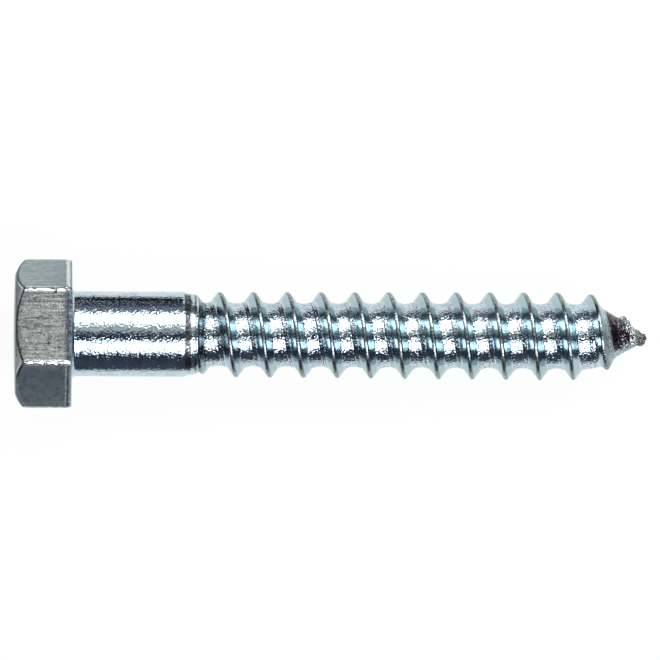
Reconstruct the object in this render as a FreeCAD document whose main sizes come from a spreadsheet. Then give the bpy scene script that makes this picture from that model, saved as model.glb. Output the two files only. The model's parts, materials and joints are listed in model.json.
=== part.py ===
import FreeCAD, Part
import math
import os
import Sketcher

# Hex head lag screw, forged and rolled from one piece of steel wire.
# It is drawn along X: the bearing face under the head is at 0 and the point is towards +X.
# At the end it is laid down the way it rests, on one flat of the head and one thread crest.

Vector = FreeCAD.Vector

doc = FreeCAD.newDocument("lag_screw_model")
sheet = doc.addObject("Spreadsheet::Sheet", "sizes")

SIZES = [
    ("hex_across_flats", 14.05, "between opposite flats of the head"),
    ("head_height", 6.1, "bearing face to crown"),
    ("crown_inset", 0.745, "from the flats in to the edge of the crown"),
    ("crown_drop", 1.23, "fall of the chamfer from the crown to the hex corners"),
    ("corner_round", 0.3, "radius along the six hex corners"),
    ("bevel_length", 0.47, "bearing side bevel, along the axis"),
    ("bevel_depth", 0.22, "bearing side bevel, towards the axis"),
    ("bearing_fillet", 0.45, "rounding between the bearing face and the shank"),
    ("shank_diameter", 9.12, "plain shank"),
    ("shank_length", 11.9, "bearing face to the start of the neck's taper"),
    ("taper_length", 0.77, "taper from the shank to the neck"),
    ("neck_diameter", 8.6, "neck between the shank and the thread"),
    ("neck_length", 0.73, "neck, from its taper to the first groove"),
    ("shoulder_length", 0.8, "slope from the neck down to the root"),
    ("root_diameter", 6.84, "core between the ridge's turns"),
    ("screw_length", 61.8, "bearing face to the end of the point"),
    ("point_length", 5.56, "cone of the point, with its blunt nose"),
    ("nose_length", 0.48, "blunt nose"),
    ("nose_diameter", 0.9, "where the cone ends and the nose starts"),
    ("nose_flat", 0.44, "flat end of the nose"),
    ("thread_pitch", 3.6286, "seven turns to the inch"),
    ("crest_rise", 2.35, "from the first groove to the first full crest, on the +Y side"),
    ("first_depth", 1.13, "height of the ridge at its first full crest"),
    ("start_drop", 0.43, "how much lower the ridge is at the neck"),
    ("thread_depth", 1.31, "height of the ridge before it starts to fade"),
    ("crest_flat", 0.2, "width of the flat along the crest"),
    ("flank_angle", 34.0, "degrees from a plane across the axis"),
    ("bend_height", 0.82, "above the root, where the flank starts to bend"),
    ("bend_width", 0.36, "from there to the knee, along the axis"),
    ("knee_height", 0.35, "above the root, the knee where the ridge's foot starts"),
    ("root_flat", 0.85, "bare root between the feet of two turns"),
    ("ridge_fade", 8.55, "length before the end over which the ridge fades"),
    ("ridge_stop", 0.9, "from the ridge's last section to the end"),
]
for row, (alias, value, note) in enumerate(SIZES, start=1):
    sheet.set("A%d" % row, note)
    sheet.set("B%d" % row, str(value))
    sheet.setAlias("B%d" % row, alias)
doc.recompute()


def size(alias):
    return float(sheet.get(alias))


def share_of(alias, share):
    """Part of one size, as a number and as an expression on the sheet."""
    return share * size(alias), "%.6f mm * sizes.%s" % (share, alias)


def total(*terms):
    """A sum of sizes, as a number and as an expression on the sheet."""
    return sum(value for value, words in terms), " + ".join(words for value, words in terms)


def along(*aliases):
    return total(*(share_of(alias, 1) for alias in aliases))


def before(alias, *others):
    """One size with others taken off it."""
    return total(share_of(alias, 1), *(share_of(other, -1) for other in others))


def radius(alias):
    return share_of(alias, 0.5)


ON_AXIS = (0.0, "")


def new_sketch(body, name, role, turn=0.0):
    plane = next(f for f in body.Origin.OriginFeatures if f.Role == role)
    sketch = body.newObject("Sketcher::SketchObject", name)
    sketch.AttachmentSupport = [(plane, "")]
    sketch.MapMode = "FlatFace"
    sketch.AttachmentOffset = FreeCAD.Placement(Vector(), FreeCAD.Rotation(Vector(1, 0, 0), turn))
    return sketch


def pin_corner(sketch, side, corner):
    """Ties the start of one side of an outline to the two axes through the sheet."""
    for kind, axis, (value, words) in (("DistanceX", -2, corner[0]), ("DistanceY", -1, corner[1])):
        if not words:
            sketch.addConstraint(Sketcher.Constraint("PointOnObject", side, 1, axis))
            continue
        ends = (-1, 1, side, 1) if value > 0 else (side, 1, -1, 1)
        index = sketch.addConstraint(Sketcher.Constraint(kind, *ends, abs(value)))
        name = "corner%d%s" % (side, kind[-1])
        sketch.renameConstraint(index, name)
        sketch.setExpression("Constraints." + name, words if value > 0 else "-1 * (%s)" % words)


def draw_outline(sketch, corners):
    """Closed outline with straight sides through the corners."""
    points = [Vector(x[0], y[0], 0) for x, y in corners]
    for start, end in zip(points, points[1:] + points[:1]):
        sketch.addGeometry(Part.LineSegment(start, end))
    for side, corner in enumerate(corners):
        after = (side + 1) % len(corners)
        sketch.addConstraint(Sketcher.Constraint("Coincident", side, 2, after, 1))
        pin_corner(sketch, side, corner)


def edges_where(shape, wanted):
    return ["Edge%d" % k for k, edge in enumerate(shape.Edges, start=1) if wanted(edge)]


# The blank: hex head, shank, neck and the core that the thread stands on.

blank = doc.addObject("PartDesign::Body", "blank")

hexagon = new_sketch(blank, "hexagon", "YZ_Plane")
corner_radius = size("hex_across_flats") / math.sqrt(3)
hex_points = [
    Vector(corner_radius * math.cos(math.radians(60 * k)), corner_radius * math.sin(math.radians(60 * k)), 0)
    for k in range(6)
]
for k in range(6):
    hexagon.addGeometry(Part.LineSegment(hex_points[k], hex_points[(k + 1) % 6]))
guide = hexagon.addGeometry(Part.Circle(Vector(), Vector(0, 0, 1), corner_radius), True)
hexagon.addConstraint(Sketcher.Constraint("Coincident", guide, 3, -1, 1))
for k in range(6):
    hexagon.addConstraint(Sketcher.Constraint("Coincident", k, 2, (k + 1) % 6, 1))
    hexagon.addConstraint(Sketcher.Constraint("PointOnObject", k, 1, guide))
for k in range(1, 6):
    hexagon.addConstraint(Sketcher.Constraint("Equal", 0, k))
hexagon.addConstraint(Sketcher.Constraint("PointOnObject", 0, 1, -1))
flats = hexagon.addConstraint(Sketcher.Constraint("DistanceY", 5, 1, 1, 1, size("hex_across_flats")))
hexagon.renameConstraint(flats, "across_flats")
hexagon.setExpression("Constraints.across_flats", "1 mm * sizes.hex_across_flats")

head = blank.newObject("PartDesign::Pad", "head")
head.Profile = hexagon
head.Reversed = True
head.setExpression("Length", "1 mm * sizes.head_height")
doc.recompute()

bevel = blank.newObject("PartDesign::Chamfer", "bearing_bevel")
bevel.Base = (head, edges_where(head.Shape, lambda edge: abs(edge.BoundBox.XMin) < 0.001))
bevel.ChamferType = "Two distances"
bevel.setExpression("Size", "1 mm * sizes.bevel_length")
bevel.setExpression("Size2", "1 mm * sizes.bevel_depth")
doc.recompute()

corners = blank.newObject("PartDesign::Fillet", "rounded_corners")
corners.Base = (bevel, edges_where(bevel.Shape, lambda edge: edge.BoundBox.XLength > size("head_height") / 2))
corners.setExpression("Radius", "1 mm * sizes.corner_round")
doc.recompute()

# The chamfer over the hex corners is turned round the axis; clear of the head, its outline only closes.
crown_sketch = new_sketch(blank, "crown_chamfer", "XY_Plane")
crown_back = share_of("head_height", -1)
crown_edge = total(share_of("hex_across_flats", 0.5), share_of("crown_inset", -1))
chamfer_end = total(crown_back, share_of("crown_drop", 1))
hex_corner = share_of("hex_across_flats", 1 / math.sqrt(3))
clear = share_of("hex_across_flats", 1)
behind = share_of("head_height", -2)
draw_outline(
    crown_sketch,
    [
        (crown_back, crown_edge),
        (chamfer_end, hex_corner),
        (chamfer_end, clear),
        (behind, clear),
        (behind, crown_edge),
    ],
)
crown = blank.newObject("PartDesign::Groove", "crown")
crown.Profile = crown_sketch
crown.ReferenceAxis = (crown_sketch, ["H_Axis"])
doc.recompute()

# The turned part starts inside the head. Its profile is drawn away from the level plane, so that
# its seam stays clear of the ridge's. The rounding under the head is drawn with two sides.
SEAM_TURN = 37.0
MIDDLE_OF_ROUNDING = 1 - math.cos(math.radians(45))
turned_sketch = new_sketch(blank, "turned_profile", "XY_Plane", SEAM_TURN)
rounding_edge = total(radius("shank_diameter"), share_of("bearing_fillet", 1))
rounding_middle = (
    share_of("bearing_fillet", MIDDLE_OF_ROUNDING),
    total(radius("shank_diameter"), share_of("bearing_fillet", MIDDLE_OF_ROUNDING)),
)
neck_end = ("shank_length", "taper_length", "neck_length")
draw_outline(
    turned_sketch,
    [
        (share_of("bevel_length", -1), ON_AXIS),
        (share_of("bevel_length", -1), rounding_edge),
        (ON_AXIS, rounding_edge),
        rounding_middle,
        (along("bearing_fillet"), radius("shank_diameter")),
        (along("shank_length"), radius("shank_diameter")),
        (along("shank_length", "taper_length"), radius("neck_diameter")),
        (along(*neck_end), radius("neck_diameter")),
        (along(*neck_end, "shoulder_length"), radius("root_diameter")),
        (before("screw_length", "point_length"), radius("root_diameter")),
        (before("screw_length", "nose_length"), radius("nose_diameter")),
        (along("screw_length"), radius("nose_flat")),
        (along("screw_length"), ON_AXIS),
    ],
)
turned = blank.newObject("PartDesign::Revolution", "shank_and_core")
turned.Profile = turned_sketch
turned.ReferenceAxis = (turned_sketch, ["H_Axis"])
doc.recompute()

# The thread: one ridge wound round the core, made of strips between helical lines.
# Its section has a narrow flat crest, straight flanks, a bend and a shallow foot on each side.
# The section shrinks with the ridge's height, which rises out of the neck and fades on the point.

groove_start = size("shank_length") + size("taper_length") + size("neck_length")
first_crest = groove_start + size("crest_rise")
point_start = size("screw_length") - size("point_length")
nose_start = size("screw_length") - size("nose_length")
fade_start = size("screw_length") - size("ridge_fade")
flank_slope = math.tan(math.radians(size("flank_angle")))
FADE_POWER = 1.5
FOOT_SINK = 0.1
CORE_SINK = 0.35
SPANS_PER_STRIP = 2
STRIPS_PER_TURN = 4


def blend(start, end, share):
    return start + (end - start) * share


def root_radius(x):
    """Radius of the core, as if the thread's root ran on under the neck."""
    if x <= point_start:
        return size("root_diameter") / 2
    share = (x - point_start) / (nose_start - point_start)
    return blend(size("root_diameter"), size("nose_diameter"), share) / 2


def ridge_height(x):
    height = blend(size("first_depth"), size("thread_depth"), (x - first_crest) / (fade_start - first_crest))
    if x < first_crest:
        height -= size("start_drop") * (first_crest - x) / size("crest_rise")
    if x > fade_start:
        height = size("thread_depth") * (1 - ((x - fade_start) / size("ridge_fade")) ** FADE_POWER)
    return height


def ridge_section(x):
    """Corners of the ridge's section at x, from its sunk head side corner to its sunk point side one."""
    height = ridge_height(x)
    scale = height / size("thread_depth")
    half_crest = size("crest_flat") / 2
    bend = half_crest + flank_slope * (size("thread_depth") - size("bend_height"))
    knee = bend + size("bend_width")
    foot = (size("thread_pitch") - size("root_flat")) / 2
    sunk = FOOT_SINK * (foot - knee) / size("knee_height")
    side = [
        (half_crest, None),
        (blend(half_crest, bend, scale), size("bend_height") * scale),
        (blend(half_crest, knee, scale), size("knee_height") * scale),
        (blend(half_crest, foot, scale) + sunk, -FOOT_SINK),
        (blend(half_crest, foot, scale) + sunk, -CORE_SINK),
    ]
    halves = []
    for way in (-1, 1):
        half = []
        for offset, lift in side:
            place = x + way * offset
            level = root_radius(x) + height if lift is None else root_radius(place) + lift
            half.append((place, level))
        halves.append(half)
    return halves[0][::-1] + halves[1]


SECTION_CORNERS = len(ridge_section(first_crest))


def ridge_point(corner, turns):
    """A corner of the section after some turns; the ridge climbs right-handed about +X."""
    place, level = ridge_section(first_crest + turns * size("thread_pitch"))[corner]
    angle = 2 * math.pi * turns
    return Vector(place, level * math.cos(angle), level * math.sin(angle))


def helical_line(corner, start, end):
    """A smooth curve through the places of one corner, with its true direction at both ends."""
    marks = [blend(start, end, k / SPANS_PER_STRIP) for k in range(SPANS_PER_STRIP + 1)]
    nudge = 0.001
    ways = [
        (ridge_point(corner, at + nudge) - ridge_point(corner, at - nudge)) * (0.5 / nudge)
        for at in (start, end)
    ]
    curve = Part.BSplineCurve()
    curve.interpolate(
        Points=[ridge_point(corner, at) for at in marks],
        Parameters=marks,
        InitialTangent=ways[0],
        FinalTangent=ways[1],
    )
    return curve.toShape()


def end_face(turns):
    outline = [ridge_point(corner, turns) for corner in range(SECTION_CORNERS)]
    return Part.Face(Part.makePolygon(outline + outline[:1]))


def build_ridge():
    """The ridge starts half a turn before the first groove, inside the shank."""
    first = -size("crest_rise") / size("thread_pitch") - 0.5
    last = (size("screw_length") - size("ridge_stop") - first_crest) / size("thread_pitch")
    strips = round((last - first) * STRIPS_PER_TURN)
    marks = [blend(first, last, k / strips) for k in range(strips + 1)]
    faces = [end_face(first), end_face(last)]
    for start, end in zip(marks, marks[1:]):
        lines = [helical_line(corner, start, end) for corner in range(SECTION_CORNERS)]
        for near, far in zip(lines, lines[1:] + lines[:1]):
            faces.append(Part.makeRuledSurface(near, far))
    shell = Part.makeShell(faces)
    shell.sewShape()
    return Part.makeSolid(shell)


ridge = doc.addObject("Part::Feature", "thread_ridge")
ridge.Shape = build_ridge()

screw = doc.addObject("Part::MultiFuse", "lag_screw")
screw.Shapes = [blank, ridge]
screw.Refine = False
screw.Label = "lag_screw"
doc.recompute()


def resting_tilt():
    """Dip of the point, in degrees, with one flat's bevel edge and one crest on the ground."""
    turns = 0.75
    dips = []
    while first_crest + turns * size("thread_pitch") < nose_start:
        x = first_crest + turns * size("thread_pitch")
        drop = size("hex_across_flats") / 2 - root_radius(x) - ridge_height(x)
        dips.append(math.atan2(drop, x + size("crest_flat") / 2 + size("bevel_length")))
        turns += 1
    return math.degrees(min(dips))


screw.Placement = FreeCAD.Placement(Vector(), FreeCAD.Rotation(Vector(0, 1, 0), resting_tilt()))
doc.recompute()

failed = [item.Name for item in doc.Objects if "Invalid" in item.State or "Error" in item.State]
if failed:
    raise RuntimeError("failed objects: " + ", ".join(failed))
for item in (blank, ridge, screw):
    if item.Shape.isNull() or not item.Shape.isValid() or len(item.Shape.Solids) != 1:
        raise RuntimeError(item.Label + " is not one valid solid")
if not blank.Shape.Volume < screw.Shape.Volume < blank.Shape.Volume + ridge.Shape.Volume:
    raise RuntimeError("the ridge is not joined to the blank")

print("resting tilt %.6f degrees" % resting_tilt())
print("blank %.1f mm3, ridge %.1f mm3, screw %.1f mm3"
      % (blank.Shape.Volume, ridge.Shape.Volume, screw.Shape.Volume))
os.makedirs("parts", exist_ok=True)
screw.Shape.Solids[0].exportStep("parts/%s.step" % screw.Label)
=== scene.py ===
import functools
import json
import math

import bmesh
import bpy
from mathutils import Matrix, Vector, noise


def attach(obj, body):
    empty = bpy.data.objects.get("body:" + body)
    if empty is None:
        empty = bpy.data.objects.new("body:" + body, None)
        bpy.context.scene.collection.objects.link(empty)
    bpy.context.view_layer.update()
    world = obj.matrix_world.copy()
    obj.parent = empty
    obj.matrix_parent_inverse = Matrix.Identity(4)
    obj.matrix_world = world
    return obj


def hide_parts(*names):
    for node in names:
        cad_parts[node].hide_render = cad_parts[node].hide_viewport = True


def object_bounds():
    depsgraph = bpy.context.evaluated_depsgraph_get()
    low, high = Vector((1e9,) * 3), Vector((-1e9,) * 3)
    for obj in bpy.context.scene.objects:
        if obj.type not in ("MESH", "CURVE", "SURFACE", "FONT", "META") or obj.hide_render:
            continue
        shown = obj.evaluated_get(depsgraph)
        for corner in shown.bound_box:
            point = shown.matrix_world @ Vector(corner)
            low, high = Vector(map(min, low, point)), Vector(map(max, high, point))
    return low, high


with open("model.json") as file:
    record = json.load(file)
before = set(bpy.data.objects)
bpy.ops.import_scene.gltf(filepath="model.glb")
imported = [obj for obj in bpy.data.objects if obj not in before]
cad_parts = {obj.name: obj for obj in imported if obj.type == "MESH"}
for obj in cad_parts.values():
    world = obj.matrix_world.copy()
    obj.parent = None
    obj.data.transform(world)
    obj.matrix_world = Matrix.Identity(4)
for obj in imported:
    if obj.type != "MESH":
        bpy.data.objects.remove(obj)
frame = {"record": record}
cadBox = [list(corner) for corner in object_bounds()]

# Sizes are in millimetres in the screw's own frame: x runs from the bearing face to the point,
# and the angle goes round from +Y towards +Z. The mesh is then laid down at the tilt of the CAD node.
mm = 0.001
bearingMount = next(mount for mount in frame["record"]["mounts"] if mount["name"] == "bearing_face")
shankMount = next(mount for mount in frame["record"]["mounts"] if mount["name"] == "shank")
axisWay = Vector(bearingMount["axis"]).normalized()
sideWay = Vector((0, 1, 0))
upWay = axisWay.cross(sideWay)
fullTurn = 2 * math.pi


def mix(start, end, share):
    return start + (end - start) * share


def ease(low, high, value):
    share = min(max((value - low) / (high - low), 0), 1)
    return share * share * (3 - 2 * share)


def bump(centre, halfWidth, value):
    share = abs(value - centre) / halfWidth
    return 0 if share >= 1 else (1 - share * share) ** 2


def softMax(first, second, reach):
    overlap = max(reach - abs(first - second), 0) / reach
    return max(first, second) + overlap * overlap * reach / 4


# The head.

head = {
    "acrossFlats": 14.05,
    "height": 6.1,
    "dome": 0.12,            # rise of the crown's middle
    "crownRadius": 6.28,
    "chamferStart": 23.9,    # degrees, slope at the crown
    "chamferEnd": 43.9,      # degrees, slope at the corners
    # the chamfer is cut a little off centre: how much shallower on average, towards +Y and upwards
    "chamferLean": (0.09, -0.075, 0.1),
    "edgeRound": 0.38,
    "cornerRound": 0.55,
    "bevelLength": 0.8,      # the rounded edge at the bearing face
    "bevelDepth": 0.25,
    "filletRadius": 0.45,
    "domeRows": 8,
    "chamferRows": 9,
    "sideRows": 40,
    "bevelRows": 8,
    "filletRows": 7,
    "cornerSteps": 6,        # columns from a corner's middle to its flat
    "flatSteps": 6,          # columns from there to the flat's middle
    "edgeShares": (0.15, 0.32, 0.5, 0.72, 1),  # rows of the soft edge between the chamfer and the flats
    "edgePower": 1.5,        # how those rows gather at the chamfer
    "faceEdge": 1.02,        # where the bearing face meets the fillet, in fillet radii
    "sides": 6,
    "wobble": 0.035,         # unevenness along the corners
    "wobbleScale": (1.7, 0.11),  # for each millimetre along and each degree round
    "wobbleSeed": 3.1,
    "nickSpread": 2.5,       # degrees, half width
    "nicks": [               # angle in degrees, place along the axis, half length, depth
        (120, -1.62, 0.3, 0.1),
        (120, -3.1, 0.35, 0.05),
        (60, -2.1, 0.25, 0.06),
        (60, -4.1, 0.2, 0.05),
        (180, -3.3, 0.4, 0.07),
        (0, -1.2, 0.3, 0.06),
        (240, -2.4, 0.35, 0.06),
        (300, -3.6, 0.3, 0.07),
    ],
}
head["columns"] = 2 * head["sides"] * (head["cornerSteps"] + head["flatSteps"])


def hexColumns():
    # angle, radius and share of corner rounding for every column round the hexagon
    apothem = head["acrossFlats"] / 2
    rounding = head["cornerRound"]
    sixth = fullTurn / head["sides"]
    centre = (apothem - rounding) / math.cos(sixth / 2)
    half = []
    for step in range(head["cornerSteps"]):
        turn = sixth / 2 * step / head["cornerSteps"]
        across = centre + rounding * math.cos(turn)
        aside = rounding * math.sin(turn)
        half.append((math.atan2(aside, across), math.hypot(across, aside), 1 - step / head["cornerSteps"]))
    reach = (apothem - rounding) * math.tan(sixth / 2)
    for step in range(head["flatSteps"]):
        aside = reach * (1 - step / head["flatSteps"])
        half.append((sixth / 2 - math.atan2(aside, apothem), math.hypot(apothem, aside), 0))
    middle = [(sixth / 2, apothem, 0)]
    sector = half + middle + [(sixth - angle, radius, share) for angle, radius, share in half[:0:-1]]
    turns = [sixth * side for side in range(head["sides"])]
    return [(angle + turn, radius, share) for turn in turns for angle, radius, share in sector]


def chamferArc():
    # the slope at the crown's edge, in radians, and the arc's radius
    low, high = math.radians(head["chamferStart"]), math.radians(head["chamferEnd"])
    corner = head["acrossFlats"] / math.sqrt(3)
    return low, (corner - head["crownRadius"]) / (math.sin(high) - math.sin(low))


def chamferPoint(radius, angle):
    # place of the chamfer along the axis, from the crown's edge outwards
    low, sweep = chamferArc()
    slope = math.asin(math.sin(low) + (radius - head["crownRadius"]) / sweep)
    mean, sideways, upwards = head["chamferLean"]
    lean = mean + sideways * math.cos(angle) + upwards * math.sin(angle)
    lean *= min((radius - head["crownRadius"]) / (head["acrossFlats"] / 2 - head["crownRadius"]), 1)
    return -head["height"] + sweep * (math.cos(low) - math.cos(slope)) - lean


def cornerWear(x, angle, share):
    # how far a corner stands in from its true place
    degrees = math.degrees(angle)
    alongScale, roundScale = head["wobbleScale"]
    wear = head["wobble"] * noise.noise((x * alongScale, degrees * roundScale, head["wobbleSeed"]))
    for nickAngle, place, reach, depth in head["nicks"]:
        off = abs((degrees - nickAngle + 180) % 360 - 180)
        wear += depth * bump(place, reach, x) * bump(0, head["nickSpread"], off)
    return wear * share


def headRows():
    columns = hexColumns()
    rows = []
    crownX = -head["height"]
    for row in range(1, head["domeRows"] + 1):
        share = row / head["domeRows"]
        x = crownX - head["dome"] * (1 - share * share)
        rows.append([(x, head["crownRadius"] * share, angle) for angle, _, _ in columns])
    rounding = head["edgeRound"]
    for row in range(1, head["chamferRows"] + 1):
        share = row / head["chamferRows"]
        line = []
        for angle, radius, _ in columns:
            out = mix(head["crownRadius"], radius - rounding, share)
            line.append((chamferPoint(out, angle), out, angle))
        rows.append(line)
    for share in head["edgeShares"]:
        line = []
        for angle, radius, corner in columns:
            inner = chamferPoint(radius - rounding, angle)
            x = mix(inner, chamferPoint(radius, angle) + rounding, share ** head["edgePower"])
            out = radius - rounding * (1 - share) ** 2
            line.append((x, out - cornerWear(x, angle, corner) * share, angle))
        rows.append(line)
    bevelX = -head["bevelLength"]
    for row in range(1, head["sideRows"] + 1):
        share = row / head["sideRows"]
        line = []
        for angle, radius, corner in columns:
            x = mix(chamferPoint(radius, angle) + rounding, bevelX, share)
            line.append((x, radius - cornerWear(x, angle, corner), angle))
        rows.append(line)
    for row in range(1, head["bevelRows"] + 1):
        turn = math.pi / 2 * row / head["bevelRows"]
        x = bevelX * (1 - math.sin(turn))
        drop = head["bevelDepth"] * (1 - math.cos(turn))
        line = []
        for angle, radius, corner in columns:
            line.append((x, radius - drop - cornerWear(bevelX, angle, corner), angle))
        rows.append(line)
    rows.append([(0, radius - head["bevelDepth"] - rounding, angle) for angle, radius, _ in columns])
    return rows


# The shank and the neck, down to the first groove.

shank = {
    "radius": shankMount["dims"]["r_mm"],
    "length": 11.9,
    "taperEnd": 12.67,
    "neckStart": 4.36,       # radius where the taper ends
    "neckEnd": 4.25,
    "grooveStart": 13.4,
    "grooveFull": 14.25,
    "taperLead": 0.15,       # the taper and the groove start a little early, softly
    "grooveLead": 0.1,
    "lastRing": 10.6,        # where rings give way to the thread's slanted rows
    "rows": 18,
}


def shankRows(columnCount):
    angles = [fullTurn * column / columnCount for column in range(columnCount)]
    rounding = head["filletRadius"]
    rows = [[(0, shank["radius"] + rounding * head["faceEdge"], angle) for angle in angles]]
    for row in range(head["filletRows"] + 1):
        turn = math.pi / 2 * row / head["filletRows"]
        x = rounding * (1 - math.cos(turn))
        out = shank["radius"] + rounding * (1 - math.sin(turn))
        rows.append([(x, out, angle) for angle in angles])
    for row in range(1, shank["rows"] + 1):
        x = mix(rounding, shank["lastRing"], row / shank["rows"])
        rows.append([(x, shank["radius"], angle) for angle in angles])
    return rows


# The thread and the point.

thread = {
    "pitch": 25.4 / 7,
    "firstCrest": 15.75,     # on the +Y side
    "rootStart": 3.36,       # radius
    "rootEnd": 3.47,
    "crestStart": 4.55,
    "crestEnd": 4.735,
    "neckDrop": 0.43,
    "halfCrest": 0.2,
    "fadeLength": 8.55,
    "fadePower": 1.5,
    "crestWave": 0.02,
    "crestWaveScale": (1.3, 1.2),  # for each millimetre along and each radian round
    "crestWaveSeed": 7.7,
    "blankBlend": 0.12,      # how softly the first turn rises out of the blank
    "leastSection": 0.05,    # share of the full section that a fading ridge keeps
    # section of the ridge: distance from its crest and height over the root
    "section": [
        (0, 1.19), (0.1, 1.184), (0.15, 1.155), (0.2, 1.1), (0.26, 1.025), (0.33, 0.925), (0.45, 0.765),
        (0.6, 0.56), (0.75, 0.35), (0.86, 0.215), (0.93, 0.17), (1.05, 0.135), (1.2, 0.085), (1.35, 0.035),
        (1.5, 0),
    ],
    "seamPlace": -1.4,       # the fold that rolling leaves at the ridge's foot
    "seamWidth": 0.06,
    "seamDepth": 0.03,
    "seamRows": (-1, -0.5, 0, 0.5, 1),  # in seam widths
    "seamClear": 1.2,        # no other row this near, in seam widths
    "rootRows": (-1.65, 1.66),  # further rows near the root's middle
    "endSnap": 0.02,         # rows this near either end of the thread's mesh join it
    "spareLaps": 2,          # laps of rows beyond either end, which merge there
}

point = {
    "coneStart": 56.24,
    "coneSlope": 0.595,
    "coneEnd": 62.1,         # where the cone would come to nothing
    "coneBlend": 0.35,
    "end": 61.78,
    "bluntRadius": 0.3,
    "lumpPlace": 61.3,
    "lumpLength": 0.6,
    "lumpRadius": 0.42,
    "lumpFrom": 60,
    "lumpBlend": 0.15,
    "lumpLead": (1, 0.3),    # the lump's roughness starts and is full this far before its middle
    "lumpRoughness": 0.16,
    "roughFrom": 57.6,
    "roughLength": 1.6,
    "roughness": 0.12,
    "roughWaves": [(2.1, 1), (4.7, 0.6), (8.3, 0.3)],  # scale for each millimetre, and share
    "bend": 0.16,            # sideways, at the end
    "bendFrom": 58.4,
}


def rootRadius(x):
    share = (x - thread["firstCrest"]) / (point["coneStart"] - thread["firstCrest"])
    straight = mix(thread["rootStart"], thread["rootEnd"], min(max(share, 0), 1))
    cone = (point["coneEnd"] - x) * point["coneSlope"]
    return -softMax(-straight, -cone, point["coneBlend"])


def ridgeHeight(x):
    share = min(max((x - thread["firstCrest"]) / (point["coneStart"] - thread["firstCrest"]), 0), 1)
    height = mix(thread["crestStart"] - thread["rootStart"], thread["crestEnd"] - thread["rootEnd"], share)
    if x < thread["firstCrest"]:
        run = thread["firstCrest"] - shank["grooveStart"]
        height -= thread["neckDrop"] * (thread["firstCrest"] - x) / run
    fadeStart = point["end"] - thread["fadeLength"]
    if x > fadeStart:
        height *= max(1 - ((x - fadeStart) / thread["fadeLength"]) ** thread["fadePower"], 0)
    return max(height, 0)


def sectionShare(offset, height):
    # height of the ridge's section at an offset from its crest, as a share of the full height
    section = thread["section"]
    fullHeight = section[0][1]
    away = abs(offset)
    if away > thread["halfCrest"]:
        size = max(height / fullHeight, thread["leastSection"])
        away = thread["halfCrest"] + (away - thread["halfCrest"]) / size
    for (low, upper), (high, lower) in zip(section, section[1:]):
        if away <= high:
            return mix(upper, lower, (away - low) / (high - low)) / fullHeight
    return 0


def blankRadius(x):
    # the turned blank under the thread
    taper = ease(shank["length"] - shank["taperLead"], shank["taperEnd"], x)
    radius = mix(shank["radius"], shank["neckStart"], taper)
    radius = mix(radius, shank["neckEnd"], ease(shank["taperEnd"], shank["grooveStart"], x))
    groove = ease(shank["grooveStart"] - shank["grooveLead"], shank["grooveFull"], x)
    return mix(radius, rootRadius(x), groove)


def threadRadius(x, angle):
    turns = (x - thread["firstCrest"]) / thread["pitch"] - angle / fullTurn
    offset = (turns - round(turns)) * thread["pitch"]
    crestX = x - offset
    height = ridgeHeight(crestX)
    alongScale, roundScale = thread["crestWaveScale"]
    wave = noise.noise((crestX * alongScale, thread["crestWaveSeed"], angle * roundScale))
    height += thread["crestWave"] * wave * min(height, 1)
    root = rootRadius(x)
    lift = sectionShare(offset, height) * (height + rootRadius(crestX) - root)
    seam = thread["seamDepth"] * bump(thread["seamPlace"], thread["seamWidth"], offset) * min(height, 1)
    radius = root + max(lift, 0) - seam
    if x < thread["firstCrest"]:
        radius = softMax(blankRadius(x), radius, thread["blankBlend"])
    return radius


def roughPoint(x, angle, radius):
    # the torn, uneven end of the point
    start, full = [point["lumpPlace"] - lead for lead in point["lumpLead"]]
    amount = point["roughness"] * ease(point["roughFrom"], point["roughFrom"] + point["roughLength"], x)
    amount += point["lumpRoughness"] * ease(start, full, x)
    if x > point["lumpFrom"]:
        lump = 1 - ((x - point["lumpPlace"]) / point["lumpLength"]) ** 2
        radius = softMax(radius, point["lumpRadius"] * math.sqrt(max(lump, 0)), point["lumpBlend"])
    spot = Vector((x, radius * math.cos(angle), radius * math.sin(angle)))
    uneven = sum(share * noise.noise(spot * scale) for scale, share in point["roughWaves"])
    past = max((x - point["end"] + point["bluntRadius"]) / point["bluntRadius"], 0)
    return max(radius + amount * uneven, 0) * math.sqrt(max(1 - past ** 2, 0))


def threadRows(columnCount):
    # slanted rows that follow the helix; rows beyond either end are held there and merge
    half = [offset for offset, _ in thread["section"]]
    seam = [thread["seamPlace"] + thread["seamWidth"] * share for share in thread["seamRows"]]
    clear = thread["seamWidth"] * thread["seamClear"]
    left = [-offset for offset in half if abs(offset + thread["seamPlace"]) > clear]
    steps = sorted({-thread["pitch"] / 2, *thread["rootRows"], *left, *seam, *half})
    first = math.floor((shank["lastRing"] - thread["firstCrest"]) / thread["pitch"]) - thread["spareLaps"]
    last = math.ceil((point["end"] - thread["firstCrest"]) / thread["pitch"]) + thread["spareLaps"]
    rows = []
    for lap in range(first, last):
        for step in steps:
            line = []
            for column in range(columnCount):
                angle = fullTurn * column / columnCount
                x = thread["firstCrest"] + (lap + column / columnCount) * thread["pitch"] + step
                if x < shank["lastRing"] + thread["endSnap"]:
                    line.append((shank["lastRing"], shank["radius"], angle))
                elif x > point["end"] - thread["endSnap"]:
                    line.append((point["end"], 0, angle))
                else:
                    line.append((x, roughPoint(x, angle, threadRadius(x, angle)), angle))
            rows.append(line)
    return rows, len(steps)


# One closed mesh from all the rows.

mesh = {
    "headSlot": 0,           # order of the materials
    "threadSlot": 1,
    "weld": 2e-7,            # metres, corners nearer than this become one
    "shortEdge": 1e-7,
}


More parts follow.
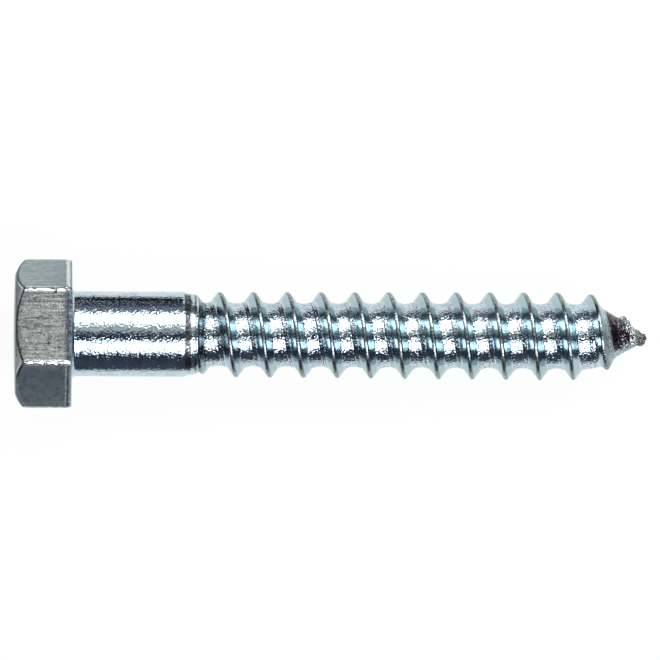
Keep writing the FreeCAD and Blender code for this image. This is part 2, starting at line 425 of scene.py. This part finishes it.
def layDown(x, radius, angle):
    # from a place on the screw to the frame, in metres
    bend = 0
    if x > point["bendFrom"]:
        bend = point["bend"] * ((x - point["bendFrom"]) / (point["end"] - point["bendFrom"])) ** 2
    side = radius * math.cos(angle) - bend
    return (axisWay * x + sideWay * side + upWay * (radius * math.sin(angle))) * mm


def buildScrew():
    columnCount = head["columns"]
    rings = headRows()
    headCount = len(rings)
    rings += shankRows(columnCount)
    slanted, lapRows = threadRows(columnCount)
    verts = [layDown(*place) for row in rings + slanted for place in row]
    crownMiddle = len(verts)
    verts.append(layDown(-head["height"] - head["dome"], 0, 0))
    faces = []
    zones = []

    def joinRows(upper, lower, shift, zone):
        for column in range(columnCount):
            after = (column + 1) % columnCount
            jump = shift * columnCount if after == 0 else 0
            quad = (
                upper * columnCount + column,
                lower * columnCount + column,
                lower * columnCount + after + jump,
                upper * columnCount + after + jump,
            )
            faces.append(quad)
            zones.append(zone)

    for column in range(columnCount):
        faces.append((crownMiddle, column, (column + 1) % columnCount))
        zones.append(mesh["headSlot"])
    for row in range(len(rings) - 1):
        joinRows(row, row + 1, 0, mesh["headSlot"] if row < headCount else mesh["threadSlot"])
    for row in range(len(rings), len(rings) + len(slanted) - lapRows - 1):
        joinRows(row, row + 1, lapRows, mesh["threadSlot"])

    data = bpy.data.meshes.new("plated_screw")
    data.from_pydata(verts, [], faces)
    data.polygons.foreach_set("material_index", zones)
    piece = bpy.data.objects.new("plated_screw", data)
    bpy.context.scene.collection.objects.link(piece)
    return piece


def cleanUp(piece):
    work = bmesh.new()
    work.from_mesh(piece.data)
    bmesh.ops.remove_doubles(work, verts=work.verts, dist=mesh["weld"])
    bmesh.ops.dissolve_degenerate(work, edges=work.edges, dist=mesh["shortEdge"])
    loose = [vert for vert in work.verts if not vert.link_faces]
    bmesh.ops.delete(work, geom=loose, context="VERTS")
    bmesh.ops.recalc_face_normals(work, faces=work.faces)
    openEdges = [edge for edge in work.edges if len(edge.link_faces) != 2]
    work.to_mesh(piece.data)
    work.free()
    for face in piece.data.polygons:
        face.use_smooth = True
    weighted = piece.modifiers.new("even_shading", "WEIGHTED_NORMAL")
    weighted.keep_sharp = True
    print("mesh: %d faces, %d open edges" % (len(piece.data.polygons), len(openEdges)))


# Shader sums.

class Signal:  # one socket of a shader; sums on it add Math nodes
    def __init__(self, graph, socket):
        self.graph = graph
        self.socket = socket

    def maths(self, operation, *values):
        return self.graph.add("Math", {"operation": operation}, values)

    def __add__(self, other):
        return self.maths("ADD", self, other)

    def __radd__(self, other):
        return self.maths("ADD", other, self)

    def __sub__(self, other):
        return self.maths("SUBTRACT", self, other)

    def __rsub__(self, other):
        return self.maths("SUBTRACT", other, self)

    def __mul__(self, other):
        return self.maths("MULTIPLY", self, other)

    def __rmul__(self, other):
        return self.maths("MULTIPLY", other, self)

    def __truediv__(self, other):
        return self.maths("DIVIDE", self, other)

    def __abs__(self):
        return self.maths("ABSOLUTE", self)

    def __pow__(self, other):
        return self.maths("POWER", self, other)

    def fraction(self):
        return self.maths("FRACT", self)

    def least(self, other):
        return self.maths("MINIMUM", self, other)

    def most(self, other):
        return self.maths("MAXIMUM", self, other)


class Graph:
    def __init__(self, tree):
        self.tree = tree
        tree.nodes.clear()

    def add(self, kind, settings=None, sockets=(), output=0):
        node = self.tree.nodes.new("ShaderNode" + kind)
        for key, value in (settings or {}).items():
            if key == "stops":
                self.setStops(node.color_ramp, value)
            else:
                setattr(node, key, value)
        pairs = sockets.items() if isinstance(sockets, dict) else enumerate(sockets)
        for key, value in pairs:
            if isinstance(value, Signal):
                self.tree.links.new(value.socket, node.inputs[key])
            else:
                node.inputs[key].default_value = value
        return Signal(self, node.outputs[output]) if node.outputs else None

    def setStops(self, ramp, stops):
        while len(ramp.elements) < len(stops):
            ramp.elements.new(0.5)
        for element, (place, colour) in zip(ramp.elements, stops):
            element.position = place
            element.color = colour

    def blend(self, share, first, second, kind="MIX"):
        # the Mix node names its colour sockets like the others, so they go by number
        settings = {"data_type": "RGBA", "blend_type": kind}
        return self.add("Mix", settings, {0: share, 6: first, 7: second}, output=2)

    def cells(self, vector, scale):
        # distance from the nearest cell's middle
        return self.add("TexVoronoi", None, {"Vector": vector, "Scale": scale})

    def noise(self, vector, scale, detail, roughness=0.5, distortion=0):
        sockets = {"Vector": vector, "Scale": scale, "Detail": detail, "Roughness": roughness,
                   "Distortion": distortion}
        return self.add("TexNoise", None, sockets)

    def stretch(self, vector, factors):
        return self.add("VectorMath", {"operation": "MULTIPLY"}, {0: vector, 1: factors})

    def around(self, side, up):
        return self.add("Math", {"operation": "ARCTAN2"}, {0: up, 1: side})

    def length(self, vector):
        return self.add("VectorMath", {"operation": "LENGTH"}, {0: vector}, output="Value")

    def spot(self, place, centre, reach):
        # 1 at the centre, 0 where an oval of these half sizes ends
        away = self.add("VectorMath", {"operation": "SUBTRACT"}, {0: place, 1: centre})
        return self.range(self.length(self.stretch(away, [1 / size for size in reach])), 0, 1, 1, 0)

    def band(self, value, low, high, soft):
        # 1 between low and high, 0 beyond them by soft
        return self.range(value, low - soft, low) * self.range(value, high, high + soft, 1, 0)

    def bands(self, value, bands):
        # the strongest of several bands, each with its start, end, softness and share
        shown = [self.band(value, low, high, soft) * share for low, high, soft, share in bands]
        return functools.reduce(Signal.most, shown)

    def ramp(self, share, stops):
        return self.add("ValToRGB", {"stops": stops}, {0: share})

    def range(self, value, low, high, start=0, end=1):
        # start at low, end at high, and held beyond them
        return self.add("MapRange", None, {0: value, 1: low, 2: high, 3: start, 4: end})

    def screwPlace(self):
        # place on the screw in millimetres: along it, to its side and up
        place = self.add("TexCoord", output="Object")
        parts = []
        for way in (axisWay, sideWay, upWay):
            sockets = {0: place, 1: way / mm}
            parts.append(self.add("VectorMath", {"operation": "DOT_PRODUCT"}, sockets, output="Value"))
        return *parts, self.add("CombineXYZ", None, parts)


def newMaterial(name):
    material = bpy.data.materials.new(name)
    material.use_nodes = True
    return material, Graph(material.node_tree)


# The zinc plating. Colours are linear, noise scales are for each millimetre, and places, widths and reaches
# are in millimetres: along the screw from the bearing face, sideways towards +Y, and up. A pair says where a
# mark starts and where it is full, or between which levels of a noise, and two more numbers are its shares at
# those two ends. A band has a start, an end and a softness.

headZinc = {
    # painted light: the top flat, the side flats and the flat towards -Y are lit and shaded copies of one
    # zinc; these are the top flat's tones
    "pale": (0.39, 0.408, 0.393, 1),
    "dark": (0.105, 0.112, 0.11, 1),
    "sidePale": (0.48, 0.54, 0.55, 1),
    "sideDark": (0.265, 0.305, 0.32, 1),
    # painted light: the flat towards -Y is painted lighter
    "paintedLitLowSide": (0.80, 0.86, 0.86, 1),  # the flat towards -Y
    # for the curls, and for the worn corners, where it is partly a painted highlight
    "bright": (0.80, 0.86, 0.85, 1),
    "edge": (0.62, 0.72, 0.72, 1),     # where the surface turns away
    # painted shade along the chamfer's edge
    "line": (0.05, 0.05, 0.055, 1),
    "chamfer": (0.60, 0.62, 0.60, 1),
    "brown": (0.30, 0.25, 0.19, 1),
    "brushing": (0.04, 1, 1),          # draws the streaks out along the screw
    "streaks": {"scale": 9, "detail": 2, "roughness": 0.6},
    "mottle": {"scale": 1.7, "detail": 4, "roughness": 0.72},
    "curls": {"scale": 3.4, "detail": 2, "distortion": 1.3},
    "grain": {"scale": 8, "detail": 1},
    "topFlat": (6.65, 6.75),           # height over the axis where the top flat's own marks show
    "toneShares": (0.42, 0.3, 0.28),   # of streaks, mottle and grain
    "toneFall": 0.005,                 # darker towards +Y
    "toneRange": (0.43, 0.57),         # levels of the mixed noise
    "sideShares": (0.5, 0.5),          # of streaks and mottle
    "sideRange": (0.4, 0.6),
    "lowReach": (0, -5),
    "lowShare": 0.85,
    "lines": [2.63, -0.07],            # darker lines on the top flat, sideways
    "lineWidth": (0.03, 0.14),
    "lineWander": 0.3,
    "lineDepth": 0.5,
    "curlWidth": 0.03,                 # of the noise's middle level
    "curlShare": 0.6,
    "curlFade": (3, 0, 0.2, 1),        # fewer towards +Y
    # tint of the top flat's edge at the bearing face, from 1 mm before it: the plating's purple and blue,
    # with dark bands of painted shade where the edge rounds off
    "edgeTintAndShade": [
        (0.18, (1, 1, 1, 1)),
        (0.28, (0.34, 0.30, 0.31, 1)),
        (0.38, (0.75, 0.72, 0.76, 1)),
        (0.47, (0.22, 0.15, 0.20, 1)),
        (0.60, (0.22, 0.26, 0.44, 1)),
        (0.80, (0.33, 0.47, 0.64, 1)),
        (0.93, (1.0, 1.0, 1.0, 1)),
    ],
    "tintWander": 0.4,
    "stain": ((-6.0, -0.9, 6.6), (0.5, 2.6, 1.6)),  # centre and half sizes
    # the worn corners and the side flats' bright edge are partly a painted highlight
    "corners": (7.92, 7.96),           # distance from the axis where the corners are worn bright
    "cornerWander": 0.05,
    "sideEdge": (-0.6, -0.25, 0.05),   # the side flats' bright edge at the bearing face
    "sideTeeth": (0.7, 0.5),           # its unevenness from streaks and from grain
    "crownGap": (0.2, 0.4),            # beyond the crown's edge
    "onChamfer": (0.02, -0.03),        # from the chamfer's edge
    "chamferSpots": (0.4, 0.6, 0.6, 1),
    # a dark line of painted shade along the chamfer's edge
    "creaseShade": (0.02, 0.1, 0.05),
    "creaseShadeWander": 0.06,
    "creaseShadeShare": 0.9,
    "roughSpots": (0.35, 0.65),
    "roughness": (0.25, 0.38),
    "wornRoughness": 0.12,
    "bumpHeight": 0.06,
    "bumpShares": (0.45, 0.5, 0.55, 0.4),  # of streaks, mottle, grain and curls
    "sideBump": 0.45,                  # of the bump on the side flats
    "wornBump": 0.25,
    "nickDepth": 3,                    # in bump heights
    "nicks": [                         # centre and half sizes
        ((-1.77, 3.75, 7.0), (0.16, 0.3, 0.5)),
        ((-0.62, 3.9, 7.0), (0.2, 0.22, 0.5)),
        ((-2.5, -1.9, 7.0), (0.3, 0.12, 0.5)),
    ],
}

threadZinc = {
    "pale": (0.64, 0.75, 0.79, 1),
    "dark": (0.46, 0.57, 0.63, 1),
    "edge": (0.85, 0.94, 0.93, 1),
    "flank": (0.40, 0.52, 0.565, 1),
    "crest": (0.20, 0.20, 0.205, 1),
    # painted shade: dark lines beside the crest where it rounds off
    "crestShadeLine": (0.05, 0.05, 0.055, 1),
    # painted shade in the first groove
    "grooveShadeNavy": (0.015, 0.022, 0.04, 1),
    "violet": (0.42, 0.43, 0.58, 1),
    # painted highlight along the shank's top
    "paintedSheen": (0.80, 0.70, 0.82, 1),    # along the shank's top
    # painted shade in the plating's pits, the rolling folds and the torn end
    "pitShade": (0.08, 0.10, 0.13, 1),
    "tipRed": (0.055, 0.042, 0.048, 1),
    "tipMottle": (0.27, 0.22, 0.23, 1),
    "tipPale": (0.90, 0.93, 0.93, 1),  # the ridge's end
    "tipBrown": (0.20, 0.165, 0.12, 1),
    "neckBrown": (0.04, 0.033, 0.036, 1),
    "cloud": {"scale": 0.9, "detail": 5, "roughness": 0.65},
    "peel": {"scale": 5.4, "detail": 1},
    "grain": {"scale": 9, "detail": 1},
    "specks": {"scale": 6, "detail": 0},
    "cellScale": 4.4,
    "dotScale": 2.6,
    "dots": (0, 0.2, 0.85, 0),         # raised dots, at the middles of wider cells
    "toneShares": (0.6, 0.4),          # of cloud and peel
    "toneRange": (0.36, 0.62),
    "violetSpots": (0.5, 0.3, 0, 0.7),
    "mottleSpots": (0.52, 0.62),
    "pitSpots": (0.66, 0.70),
    "pitShares": (0.2, 0.9),           # on the shank and in the thread
    "tipPitSpots": (0.48, 0.56),
    "tipPitShare": 0.8,
    "roughShares": (0.5, 0.5),         # of cloud and grain
    "roughSpots": (0.38, 0.62),
    "roughness": (0.03, 0.07),
    "neckRoughness": 0.25,             # each of these is added where its name says
    "rootRoughness": 0.03,
    "flankRoughness": 0.11,
    "crestRoughness": 0.1,
    "coneRoughness": 0.12,
    "bumpHeight": 0.03,
    "cellShare": 0.9,
    "bumpLevel": 0.65,
    "shankShare": 0.6,                 # of the bump on the shank
    "rootShare": 0.95,
    "flankShare": 0.1,
    "crestShare": 0.3,
    "coneShare": 0.5,
    "tipShare": 3,
}

# Where the marks on the shank, the thread and the point lie.
marks = {
    "neckBands": [(12.08, 12.65, 0.1, 1), (13.12, 13.3, 0.08, 0.8)],  # the last number is a share
    "neckWander": 0.2,
    "neckSpots": (0.58, 0.64, 1, 0.5),
    "neckSide": (4.0, 4.2),            # the bands end at the outline
    "neckShare": 0.97,
    # painted shade in the first groove
    "groove": (13.55, 14.3, 0.12),
    "grooveShadeSpots": (0.5, 0.6, 1, 0.3),
    "grooveShadeShare": 0.9,
    # painted highlight along the shank's top
    "paintedSheen": (3.5, 8.2, 1.5),
    "paintedSheenSide": (3.5, 4.0),
    "paintedSheenSpots": (0.4, 0.55),
    "paintedSheenShare": 0.6,
    "threadStart": (13.4, 14.2),
    "flankRise": (0.18, 0.4),          # over the root
    "flankShare": 0.9,
    "crestDrop": (0.065, 0.035),       # under the crest
    "crestSpots": (0.45, 0.58, 1, 0.1),
    # painted shade beside the crest
    "crestShadeLine": (0.065, 0.12, 0.03),
    "crestShadeLineRise": (0.2, 0.3),
    "crestShadeLineSpots": (0.4, 0.55, 0.95, 0.6),
    "crestWander": 0.05,
    "seams": [(-1.27, -1.22, 0.03, 1), (-1.04, -1.01, 0.03, 0.7)],  # as offsets from the crest
    "seamWander": 0.08,
    "seamSpots": (0.4, 0.5, 0.3, 1),
    "seamFade": (26, 44, 1, 0.3),
    "seamShare": 0.8,
    "tip": (56.7, 57.4),
    "coneRise": (0.03, 0.1),
    "coneEnd": (59.9, 60.2),
    # painted reflection: the cone's lower rim takes the flank's lighter colour
    "coneRimReflection": (-0.66, -0.82),         # the cone's lower rim, in cone radii
    "ridgeEnd": (58.6, 60.5, 0.3),
    "ridgeEndSpots": (0.45, 0.5),
    "end": (60.3, 60.9),
    "endSpots": (0.4, 0.6, 0.97, 0.6),
}


def weigh(signals, shares):
    return sum(signal * share for signal, share in zip(signals, shares))


def stray(signal, amount):
    # a noise as an uneven shift, by up to half the amount either way
    return (signal - 0.5) * amount


def finishMetal(graph, zinc, colour, rough, height):
    relief = graph.add("Bump", None, {"Strength": 1, "Distance": zinc["bumpHeight"] * mm, "Height": height})
    surface = graph.add("BsdfPrincipled", None, {
        "Base Color": colour,
        "Metallic": 1,
        "Roughness": rough,
        "Specular Tint": zinc["edge"],
        "Normal": relief,
    })
    graph.add("OutputMaterial", None, {"Surface": surface})


def chamferEdge(side, up, radius):
    # the chamfer's place along the axis, as a shader sum
    low, sweep = chamferArc()
    sine = (radius - head["crownRadius"]) / sweep + math.sin(low)
    mean, sideways, upwards = head["chamferLean"]
    lean = (side * sideways + up * upwards) / radius + mean
    return sweep * math.cos(low) - head["height"] - (1 - sine * sine).most(0) ** 0.5 * sweep - lean


def headTone(graph, side, streaks, mottle, grain, onTop):
    # the brushed grey of the top flat, with its darker lines; its tones are painted darker than the side
    # flats' as shade
    mixed = weigh((streaks, mottle, grain), headZinc["toneShares"])
    tone = graph.range(mixed - side * headZinc["toneFall"], *headZinc["toneRange"])
    for line in headZinc["lines"]:
        off = abs(side - line + stray(mottle, headZinc["lineWander"]))
        tone = tone - graph.range(off, *headZinc["lineWidth"], headZinc["lineDepth"], 0) * onTop
    return graph.blend(tone, headZinc["dark"], headZinc["pale"])


def sideTone(graph, side, streaks, mottle):
    # the side flats' tone, with the flat towards -Y painted lighter as painted light
    smooth = graph.range(weigh((streaks, mottle), headZinc["sideShares"]), *headZinc["sideRange"])
    colour = graph.blend(smooth, headZinc["sideDark"], headZinc["sidePale"])
    low = graph.range(side, *headZinc["lowReach"], 0, headZinc["lowShare"])
    return graph.blend(low, colour, headZinc["paintedLitLowSide"])


def wornEdgesAndHighlight(graph, along, radius, streaks, grain, onTop):
    # the corners and the side flats' edge at the bearing face, worn bright and partly a painted highlight
    corners = graph.range(radius + stray(streaks, headZinc["cornerWander"]), *headZinc["corners"])
    byStreaks, byGrain = headZinc["sideTeeth"]
    teeth = along + stray(streaks, byStreaks) + stray(grain, byGrain)
    return corners.most(graph.band(teeth, *headZinc["sideEdge"]) * (1 - onTop))


def headMaterial():
    material, graph = newMaterial("head_zinc")
    along, side, up, place = graph.screwPlace()
    radius = graph.length(graph.stretch(place, (0, 1, 1)))
    streaks = graph.noise(graph.stretch(place, headZinc["brushing"]), **headZinc["streaks"])
    mottle, curls, grain = [graph.noise(place, **headZinc[name]) for name in ("mottle", "curls", "grain")]
    onTop = graph.range(up, *headZinc["topFlat"])

    colour = headTone(graph, side, streaks, mottle, grain, onTop)
    colour = graph.blend(onTop, sideTone(graph, side, streaks, mottle), colour)
    curl = graph.range(abs(curls - 0.5), 0, headZinc["curlWidth"], headZinc["curlShare"], 0)
    curl = curl * graph.range(side, *headZinc["curlFade"]) * onTop
    colour = graph.blend(curl, colour, headZinc["bright"])

    wander = headZinc["tintWander"]
    tintPlace = graph.range(along + stray(mottle, wander) + stray(grain, wander), -1, 0)
    # the plating's tint at the bearing edge, with dark bands of painted shade
    colour = graph.blend(onTop, colour, graph.ramp(tintPlace, headZinc["edgeTintAndShade"]), "MULTIPLY")
    stain = graph.spot(place, *headZinc["stain"])
    colour = graph.blend(stain, colour, headZinc["brown"])
    wornAndHighlight = wornEdgesAndHighlight(graph, along, radius, streaks, grain, onTop)
    # worn bright corners and edge, partly a painted highlight
    colour = graph.blend(wornAndHighlight, colour, headZinc["bright"])

    gap = along - chamferEdge(side, up, radius)
    offCrown = graph.range(radius - head["crownRadius"], *headZinc["crownGap"])
    onChamfer = graph.range(gap, *headZinc["onChamfer"]) * graph.range(mottle, *headZinc["chamferSpots"])
    colour = graph.blend(onChamfer * offCrown * (1 - stain), colour, headZinc["chamfer"])
    # painted shade along the chamfer's edge
    creaseShade = graph.band(gap + stray(streaks, headZinc["creaseShadeWander"]), *headZinc["creaseShade"])
    colour = graph.blend(creaseShade * offCrown * headZinc["creaseShadeShare"], colour, headZinc["line"])

    rough = graph.range(mottle, *headZinc["roughSpots"], *headZinc["roughness"])
    rough = rough + wornAndHighlight * (headZinc["wornRoughness"] - rough)
    height = weigh((streaks, mottle, grain, curl), headZinc["bumpShares"])
    height = height * graph.range(onTop, 0, 1, headZinc["sideBump"], 1)
    height = height * graph.range(wornAndHighlight, 0, 1, 1, headZinc["wornBump"])
    for nick in headZinc["nicks"]:
        height = height - graph.spot(place, *nick) * headZinc["nickDepth"]
    finishMetal(graph, headZinc, colour, rough, height)
    return material


def neckMarks(graph, along, side, cloud, peel, grain):
    # brown bands round the neck, painted shade in the first groove, and a painted highlight along the shank's
    # top
    place = along + stray(cloud, marks["neckWander"]) + stray(grain, marks["neckWander"])
    bands = graph.bands(place, marks["neckBands"]) * graph.range(peel, *marks["neckSpots"])
    bands = bands * graph.range(abs(side), *marks["neckSide"], 1, 0)
    groove = graph.band(along, *marks["groove"]) * graph.range(grain, *marks["grooveShadeSpots"])
    paintedSheen = graph.band(along, *marks["paintedSheen"]) * graph.range(side, *marks["paintedSheenSide"])
    paintedSheen = paintedSheen * graph.range(cloud, *marks["paintedSheenSpots"])
    return bands, groove * marks["grooveShadeShare"], paintedSheen * marks["paintedSheenShare"]


def crestMarks(graph, along, rise, peel, cloud, inThread):
    # the darker, speckled top of the ridge, and the dark line beside it, which is painted shade where the
    # crest rounds off
    heights = [thread[end] - thread["rootEnd"] for end in ("crestStart", "crestEnd")]
    full = graph.range(along, thread["firstCrest"], point["coneStart"], *heights)
    fade = graph.range(along, point["end"] - thread["fadeLength"], point["end"])
    drop = full * (1 - fade ** thread["fadePower"]) - rise + stray(peel, marks["crestWander"])
    onCrest = graph.range(drop, *marks["crestDrop"]) * inThread
    onShadeLine = graph.band(drop, *marks["crestShadeLine"]) * inThread * graph.range(rise, *marks["crestShadeLineRise"])
    return onCrest, onShadeLine * graph.range(cloud, *marks["crestShadeLineSpots"])


def seamMarks(graph, along, side, up, cloud, grain, inThread):
    # the fine lines that rolling leaves beside the ridge, painted dark as shade in the folds
    turns = (along - thread["firstCrest"]) / thread["pitch"] - graph.around(side, up) / fullTurn + 0.5
    place = stray(turns.fraction(), thread["pitch"]) + stray(grain, marks["seamWander"])
    shown = graph.range(cloud, *marks["seamSpots"]) * graph.range(along, *marks["seamFade"])
    return graph.bands(place, marks["seams"]) * inThread * shown * marks["seamShare"]


def threadMaterial():
    material, graph = newMaterial("thread_zinc")
    along, side, up, place = graph.screwPlace()
    radius = graph.length(graph.stretch(place, (0, 1, 1)))
    coneRadius = (point["coneEnd"] - along) * point["coneSlope"]
    rise = radius - coneRadius.least(thread["rootEnd"])
    noises = [graph.noise(place, **threadZinc[name]) for name in ("cloud", "peel", "grain", "specks")]
    cloud, peel, grain, specks = noises
    cell = graph.cells(place, threadZinc["cellScale"])
    dots = graph.range(graph.cells(place, threadZinc["dotScale"]), *threadZinc["dots"])

    inThread = graph.range(along, *marks["threadStart"])
    onFlank = graph.range(rise, *marks["flankRise"]) * inThread
    tip = graph.range(along, *marks["tip"])
    onCone = tip * graph.range(rise, *marks["coneRise"], 1, 0) * graph.range(along, *marks["coneEnd"], 1, 0)
    onEnd = graph.range(along, *marks["end"])
    torn = (tip - onCone).most(onEnd)
    neck, groove, paintedSheen = neckMarks(graph, along, side, cloud, peel, grain)
    onCrest, crestShadeLine = crestMarks(graph, along, rise, peel, cloud, inThread)

    tone = graph.range(weigh((cloud, peel), threadZinc["toneShares"]), *threadZinc["toneRange"])
    colour = graph.blend(tone, threadZinc["dark"], threadZinc["pale"])
    colour = graph.blend(graph.range(cloud, *threadZinc["violetSpots"]), colour, threadZinc["violet"])
    colour = graph.blend(neck * marks["neckShare"], colour, threadZinc["neckBrown"])
    # painted shade in the first groove
    colour = graph.blend(groove, colour, threadZinc["grooveShadeNavy"])
    # painted highlight along the shank's top
    colour = graph.blend(paintedSheen, colour, threadZinc["paintedSheen"])
    colour = graph.blend(onFlank * marks["flankShare"], colour, threadZinc["flank"])
    colour = graph.blend(onCrest * graph.range(peel, *marks["crestSpots"]), colour, threadZinc["crest"])
    # painted shade beside the crest
    colour = graph.blend(crestShadeLine, colour, threadZinc["crestShadeLine"])

    mottle = graph.range(peel, *threadZinc["mottleSpots"])
    coneColour = graph.blend(mottle, threadZinc["tipRed"], threadZinc["tipMottle"])
    # painted reflection on the cone's lower rim
    rim = graph.range(side / coneRadius, *marks["coneRimReflection"])
    coneColour = graph.blend(rim, coneColour, threadZinc["flank"])
    colour = graph.blend(onCone, colour, coneColour)
    seams = seamMarks(graph, along, side, up, cloud, grain, inThread)
    # painted shade in the rolling folds
    colour = graph.blend(seams, colour, threadZinc["pitShade"])
    ridgeEnd = graph.band(along, *marks["ridgeEnd"]) * (1 - onCone)
    ridgeEnd = ridgeEnd * graph.range(peel, *marks["ridgeEndSpots"])
    colour = graph.blend(ridgeEnd, colour, threadZinc["tipPale"])
    colour = graph.blend(onEnd * graph.range(grain, *marks["endSpots"]), colour, threadZinc["tipBrown"])
    # dark specks: painted shade in pits, also on the torn end
    pitShare = graph.range(inThread, 0, 1, *threadZinc["pitShares"])
    pits = graph.range(specks, *threadZinc["pitSpots"]) * pitShare
    tipPits = graph.range(grain, *threadZinc["tipPitSpots"]) * torn * threadZinc["tipPitShare"]
    colour = graph.blend((pits * (1 - onFlank)).most(tipPits), colour, threadZinc["pitShade"])

    rough = weigh((cloud, grain), threadZinc["roughShares"])
    rough = graph.range(rough, *threadZinc["roughSpots"], *threadZinc["roughness"])
    zones = {"neck": neck, "root": inThread - onFlank, "flank": onFlank, "crest": onCrest, "cone": onCone}
    for name, zone in zones.items():
        rough = rough + zone * threadZinc[name + "Roughness"]
    share = graph.range(inThread, 0, 1, threadZinc["shankShare"], threadZinc["rootShare"]) * (1 - onFlank)
    share = share + onFlank * threadZinc["flankShare"] + onCrest * threadZinc["crestShare"]
    share = share * (1 - tip) + onCone * threadZinc["coneShare"] + torn * threadZinc["tipShare"]
    height = (peel + cell * cell * threadZinc["cellShare"] - threadZinc["bumpLevel"] + dots) * share
    finishMetal(graph, threadZinc, colour, rough, height)
    return material


screwPiece = buildScrew()
cleanUp(screwPiece)
screwPiece.data.materials.append(headMaterial())
screwPiece.data.materials.append(threadMaterial())
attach(screwPiece, "root")
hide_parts("lag_screw")
print("screw built")


# The set: a white floor, two long softboxes, a dim rim panel, a dim ceiling panel and two dark cards.

studio = {
    "floorColour": (0.95, 0.95, 0.95, 1),
    "floorGlow": 0.93,      # share of plain white in what the camera and reflections see of the floor
    "floorSize": 6.0,
    "worldColour": (0.045, 0.052, 0.08, 1),
    "lampDistance": 0.6,
    # each: name, start and end along X, the two angles from the zenith that it spans towards +Y,
    # brightness, colour; over the thread the softboxes are wider and a little brighter
    "lamps": [
        ("back_softbox", -0.62, 0.028, 30.5, 41, 5, (0.98, 1.0, 1.0)),
        ("back_softbox_thread", 0.028, 0.68, 21, 51.5, 6, (0.98, 1.0, 1.0)),
        ("back_softbox_rim", -0.62, 0.68, 52, 73, 0.2, (0.98, 1.0, 1.0)),
        ("front_softbox", -0.62, 0.028, -41, -37.5, 4.5, (0.97, 0.99, 1.0)),
        ("front_softbox_thread", 0.028, 0.68, -59, -27, 6, (0.97, 0.99, 1.0)),
        ("ceiling_panel", -0.62, 0.68, -2, 24, 0.53, (0.97, 1.0, 0.91)),
    ],
    # each: name, place along Y, start and end along X, height, colour; only reflections show them
    "cards": [
        ("back_card", 0.024, -0.001, 0.016, 0.0096, (0.015, 0.015, 0.02, 1)),
        ("front_card", -0.0166, -0.15, 0.2, 0.0127, (0.058, 0.066, 0.09, 1)),
    ],
}


def addLamp(name, start, end, low, high, brightness, colour):
    middle = math.radians((low + high) / 2)
    half = math.radians((high - low) / 2)
    data = bpy.data.lights.new(name, "AREA")
    data.shape = "RECTANGLE"
    data.size = end - start
    data.size_y = 2 * studio["lampDistance"] * math.tan(half)
    data.energy = brightness * math.pi * data.size * data.size_y
    data.color = colour
    lamp = bpy.data.objects.new(name, data)
    lamp.location = Vector((0, math.sin(middle), math.cos(middle))) * studio["lampDistance"]
    lamp.location.x = (start + end) / 2
    lamp.rotation_euler = (-middle, 0, 0)
    lamp.visible_camera = False
    bpy.context.scene.collection.objects.link(lamp)


def addSheet(name, corners, colour, glow=0):
    data = bpy.data.meshes.new(name)
    data.from_pydata(corners, [], [range(len(corners))])
    sheet = bpy.data.objects.new(name, data)
    bpy.context.scene.collection.objects.link(sheet)
    material, graph = newMaterial(name)
    surface = graph.add("BsdfDiffuse", None, {"Color": colour})
    if glow:
        rays = ("Is Camera Ray", "Is Glossy Ray", "Is Transmission Ray")
        seen = sum(graph.add("LightPath", output=ray) for ray in rays).least(1)
        white = graph.add("Emission", None, {"Color": (1, 1, 1, 1), "Strength": 1})
        surface = graph.add("MixShader", None, {0: seen * glow, 1: surface, 2: white})
    graph.add("OutputMaterial", None, {"Surface": surface})
    data.materials.append(material)
    return sheet


def buildStudio():
    floorZ = cadBox[0][2]
    reach = studio["floorSize"] / 2
    addSheet("floor", [(-reach, -reach, floorZ), (reach, -reach, floorZ), (reach, reach, floorZ),
                       (-reach, reach, floorZ)], studio["floorColour"], studio["floorGlow"])
    for name, y, start, end, height, colour in studio["cards"]:
        top = floorZ + height
        card = addSheet(name, [(start, y, floorZ), (end, y, floorZ), (end, y, top), (start, y, top)], colour)
        card.visible_camera = False
        card.visible_diffuse = False
        card.visible_shadow = False
        card.visible_transmission = False
    for lamp in studio["lamps"]:
        addLamp(*lamp)
    world = bpy.data.worlds.new("studio")
    bpy.context.scene.world = world
    world.use_nodes = True
    graph = Graph(world.node_tree)
    light = graph.add("Background", None, {"Color": studio["worldColour"], "Strength": 1})
    graph.add("OutputWorld", None, {"Surface": light})


camera = {
    "elevation": 83,
    "distance": 0.78,
    "widthSeen": 70.85,      # mm across the picture at the screw's axis
    "centreX": 27.7,         # mm along the screw at the middle of the picture
    "centreUp": 0.555,       # mm from there to the picture's middle
    "roll": 0.03,            # degrees, clockwise
    "sensor": 36,
    "nearest": 0.01,         # metres from the camera
}


def placeCamera():
    lift = math.radians(camera["elevation"])
    back = Vector((0, -math.cos(lift), math.sin(lift)))
    upInPicture = Vector((0, math.sin(lift), math.cos(lift)))
    aim = axisWay * camera["centreX"] * mm + upInPicture * camera["centreUp"] * mm
    data = bpy.data.cameras.new("camera")
    data.sensor_width = camera["sensor"]
    data.lens = camera["sensor"] * camera["distance"] / (camera["widthSeen"] * mm)
    data.clip_start = camera["nearest"]
    eye = bpy.data.objects.new("camera", data)
    rollTurn = Matrix.Rotation(math.radians(camera["roll"]), 4, back)
    facing = (-back).to_track_quat("-Z", "Y").to_matrix().to_4x4()
    eye.matrix_world = Matrix.Translation(aim + back * camera["distance"]) @ rollTurn @ facing
    bpy.context.scene.collection.objects.link(eye)
    bpy.context.scene.camera = eye


buildStudio()
placeCamera()
bpy.context.scene.view_settings.view_transform = "Standard"
print("set and camera placed")
